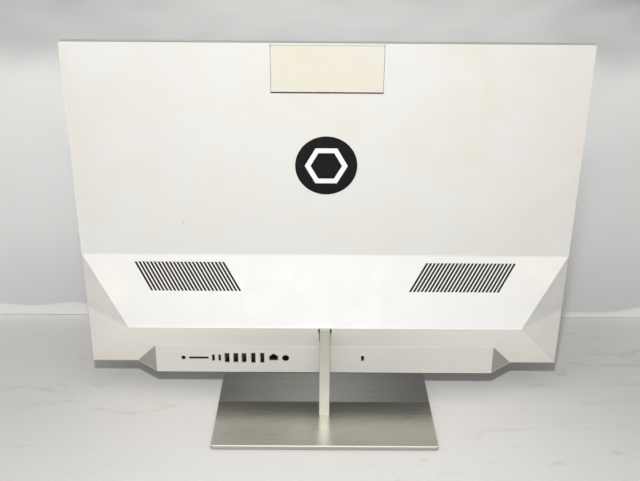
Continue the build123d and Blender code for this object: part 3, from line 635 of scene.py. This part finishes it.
# ---------------------------------------------------------------------------------------------------
# Frame: the grey-beige painted rim that carries the glass and the cover. A fine flake in the paint
# gives it a faint grain.
# ---------------------------------------------------------------------------------------------------
beige = Finish("frame_paint", metallic=0.2)
beige_flake = beige.noise(2600.0, 2.0, 0.7)
beige.set("Base Color", beige.mix(beige_flake, (0.86, 0.85, 0.80), (0.93, 0.92, 0.865)))
beige.set("Roughness", beige.between(beige.noise(80.0), 0.3, 0.7, 0.38, 0.5))
beige.bump(beige_flake, 0.02 * MM, 0.4)
beige.on("middle_frame")

# ---------------------------------------------------------------------------------------------------
# Cover glass: one black-bordered sheet. Inside the border the switched-off screen is a shade lighter
# and shows a fine cell grid when it is seen close to.
# ---------------------------------------------------------------------------------------------------
lit_half, lit_low, lit_high = 298.85, 79.5, 415.7
cell_pitch = 0.31
dark_glass = Finish("cover_glass", roughness=0.07, coat_weight=1.0, coat_roughness=0.03)
glass_across, _, up_screen = display_parts(dark_glass)
inside_border = (abs(glass_across) < lit_half) * (up_screen > lit_low) * (up_screen < lit_high)
cells = (glass_across * (2 * math.pi / cell_pitch)).sine() * 0.5 + 0.5
switched_off = dark_glass.mix(cells * 0.4, (0.018, 0.018, 0.021), (0.024, 0.024, 0.028))
dark_glass.set("Base Color", dark_glass.mix(inside_border, (0.003, 0.003, 0.003), switched_off))
dark_glass.set("Roughness", dark_glass.between(dark_glass.noise(12.0, 5.0, 0.7), 0.45, 0.75, 0.05, 0.11))
dark_glass.on("display_glass")

# ---------------------------------------------------------------------------------------------------
# Speaker grille: grey cloth woven from thick yarn, stretched over a carrier under the screen. The two
# speakers behind it are sealed boxes of black plastic.
# ---------------------------------------------------------------------------------------------------
weave = Finish("grille_cloth", roughness=0.9, sheen_weight=0.35, sheen_roughness=0.5)
yarn_pitch = 1.1
cloth_across, _, cloth_up = display_parts(weave)
warp = (cloth_across * (2 * math.pi / yarn_pitch)).sine()
weft = (cloth_up * (2 * math.pi / yarn_pitch)).sine()
over = warp.larger(weft) * 0.5 + 0.5
fibre = weave.noise(1.0, 4.0, 0.7, weave.stretch((900, 900, 5000)))
mottle = weave.noise(240.0, 3.0)
light_yarn = weave.mix(fibre, (0.13, 0.13, 0.135), (0.21, 0.21, 0.215))
weave.set("Base Color", weave.mix(over * mottle * 1.4, (0.035, 0.035, 0.037), light_yarn))
weave.bump(over + fibre * 0.3, 0.35 * MM, 0.8)
weave.on("speaker_grille")
jet.on("speaker_left", "speaker_right")

# ---------------------------------------------------------------------------------------------------
# Screen stack behind the glass: the dark cell, the moulded light guide with its dot pattern, and the
# strip of lamps along its lower edge.
# ---------------------------------------------------------------------------------------------------
cell = Finish("screen_cell", roughness=0.2)
cell.set("Base Color", cell.mix(cell.noise(500.0), (0.010, 0.010, 0.013), (0.018, 0.018, 0.022)))
cell.on("lcd_panel")

guide = Finish("light_guide", roughness=0.25)
dots = guide.node("ShaderNodeTexVoronoi", {}, {"Vector": guide.place(), "Scale": 900.0})
guide.set("Base Color", guide.mix(dots, (0.86, 0.88, 0.90), (0.66, 0.69, 0.72)))
guide.on("light_guide")

lamps = Finish("lamp_strip", roughness=0.4)
lamp_pitch = 8.0 * MM
lamp_across, _, _ = lamps.parts(lamps.place())
lamp_spots = (lamp_across * (2 * math.pi / lamp_pitch)).sine() > 0.55
lamps.set("Base Color", lamps.mix(lamp_spots, (0.70, 0.70, 0.68), (0.86, 0.74, 0.20)))
lamps.on("led_bar")

# ---------------------------------------------------------------------------------------------------
# Circuit boards: copper tracks show as raised lines under black varnish, and the chips are moulded
# epoxy. Zinc-plated screws hold the boards on posts, and a steel coin cell keeps the clock.
# ---------------------------------------------------------------------------------------------------
board = Finish("board_varnish", roughness=0.32)
track_net = {"Vector": board.stretch((260, 260, 90)), "Scale": 1.0}
tracks = board.node("ShaderNodeTexVoronoi", {"feature": "DISTANCE_TO_EDGE"}, track_net) < 0.06
board.set("Base Color", board.mix(tracks, (0.006, 0.007, 0.009), (0.020, 0.022, 0.026)))
board.bump(tracks, 0.04 * MM, 0.5)
board.on("mainboard", "power_board", "button_board", "memory_modules", "solid_state_drive")
board.on("wireless_card", "camera_board")

epoxy = Finish("chip_epoxy", roughness=0.55)
epoxy.set("Base Color", epoxy.mix(epoxy.noise(800.0, 3.0), (0.012, 0.012, 0.012), (0.030, 0.030, 0.029)))
epoxy.bump(epoxy.noise(2200.0), 0.02 * MM, 0.5)
epoxy.on("board_chips")
zinc.on("board_screws", "board_posts", "coin_cell")

# ---------------------------------------------------------------------------------------------------
# Cooling: a copper plate and pipe take the heat to a stack of thin fins over the blower, whose housing
# and rotor are black plastic. The copper has gone brown in places, and the fins hold a little dust.
# ---------------------------------------------------------------------------------------------------
bare_copper = Finish("bare_copper", metallic=1.0)
tarnish = bare_copper.noise(60.0, 5.0, 0.65)
bare_copper.set("Base Color", bare_copper.mix(tarnish, (0.62, 0.28, 0.15), (0.30, 0.13, 0.07)))
bare_copper.set("Roughness", bare_copper.between(tarnish, 0.3, 0.7, 0.25, 0.5))
bare_copper.bump(bare_copper.noise(700.0), 0.02 * MM, 0.4)
bare_copper.on("heat_pipe", "processor_plate")

dusty = Finish("dusty_fins", metallic=0.8)
dust = dusty.between(dusty.noise(150.0, 5.0, 0.7), 0.45, 0.7)
dusty.set("Base Color", dusty.mix(dust, (0.34, 0.34, 0.34), (0.20, 0.18, 0.15)))
dusty.set("Roughness", dusty.between(dust, 0.0, 1.0, 0.35, 0.85))
dusty.on("cooling_fins")
jet.on("fan_housing", "fan_rotor")

# ---------------------------------------------------------------------------------------------------
# Small trim: the clear light pipe over the power inlet, the foil aerials, and the flat display cable,
# which is shielded with the same copper foil.
# ---------------------------------------------------------------------------------------------------
clear = Finish("light_pipe", roughness=0.15)
clear.set("Base Color", clear.mix(clear.noise(900.0), (0.70, 0.71, 0.70), (0.80, 0.81, 0.80)))
clear.on("indicator")

foil = Finish("copper_foil", metallic=0.7, roughness=0.4)
foil.set("Base Color", foil.mix(foil.noise(90.0, 4.0), (0.34, 0.24, 0.12), (0.48, 0.36, 0.20)))
foil.bump(foil.noise(300.0), 0.05 * MM, 0.4)
foil.on("antennas", "display_cable")
